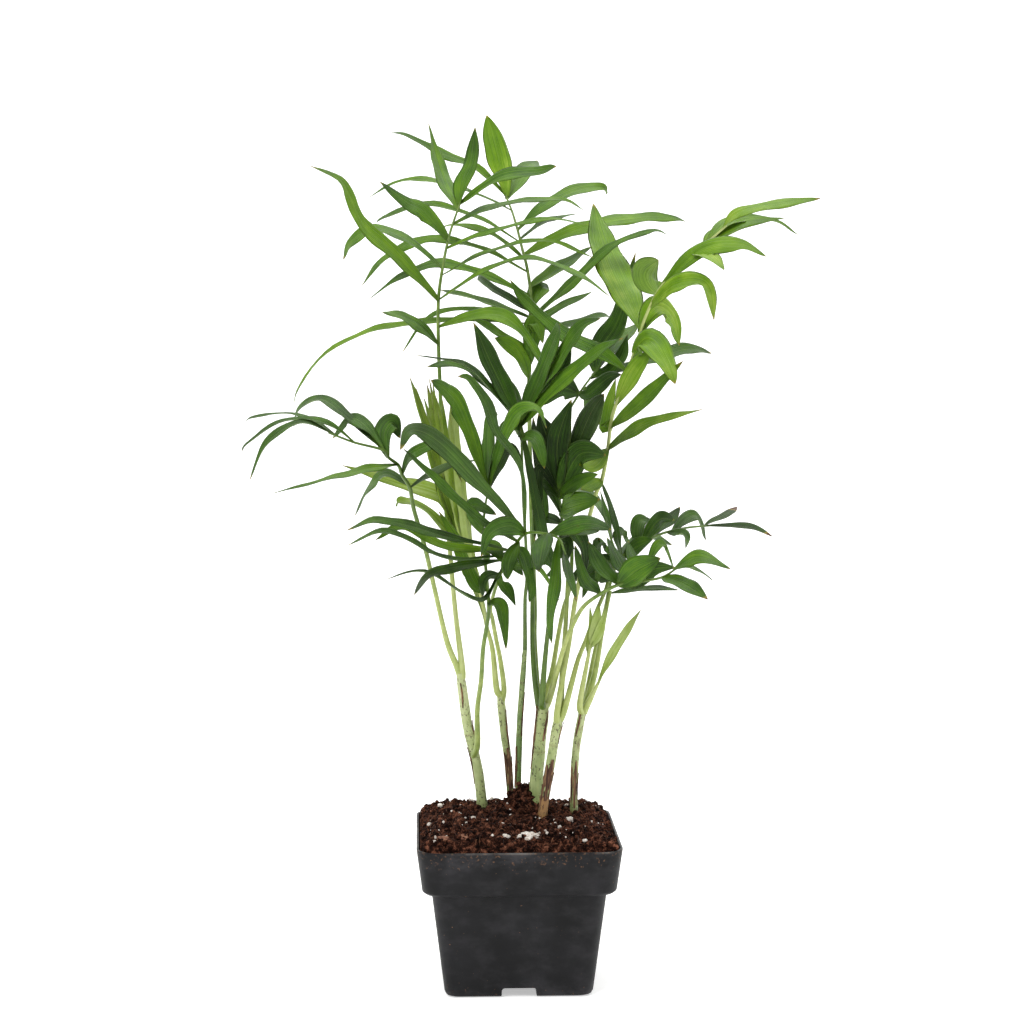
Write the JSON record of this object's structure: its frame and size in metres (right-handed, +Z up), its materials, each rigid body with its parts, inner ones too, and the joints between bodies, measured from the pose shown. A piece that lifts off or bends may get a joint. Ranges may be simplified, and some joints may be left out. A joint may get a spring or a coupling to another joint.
{
  "type": "potted parlor palm",
  "caption": "Young parlor palm with arching feather fronds on slender green canes, in moist peat with perlite, in a square dark plastic nursery pot.",
  "frame": {"origin": "middle of the pot's flat base, on the surface that it stands on", "axes": "+Z up, +X to the right as the plant is seen from its front, +Y to its back"},
  "size_m": [0.2925, 0.2793, 0.4605],
  "materials": {
    "pot_plastic": "matte",
    "soil": "matte",
    "perlite": "matte",
    "bark": "matte",
    "stem": "satin",
    "sheath": "matte",
    "leaf": "satin",
    "leaf_young": "satin"
  },
  "bodies": {
    "root": {"pot": "pot_plastic", "soil": "soil", "perlite_large": "perlite", "perlite_small": "perlite", "perlite_rear": "perlite", "bark_chip_red": "bark", "bark_chip_dark": "bark", "stem_a": "stem", "stem_b": "stem", "stem_c": "stem", "stem_d": "stem", "stem_e": "stem", "stem_f": "stem", "sheath_b": "sheath", "sheath_e": "sheath", "sheath_f": "sheath", "frond_a1": "leaf", "frond_a2": "leaf", "frond_a3": "leaf", "frond_b1": "leaf_young", "frond_b2": "leaf", "frond_c1": "leaf", "frond_d1": "leaf", "frond_d2": "leaf", "frond_d3": "leaf", "frond_d4": "leaf", "frond_e1": "leaf_young", "frond_e2": "leaf", "frond_f1": "leaf", "spear_f": "leaf_young", "blade_f": "leaf_young"}
  },
  "joints": []
}
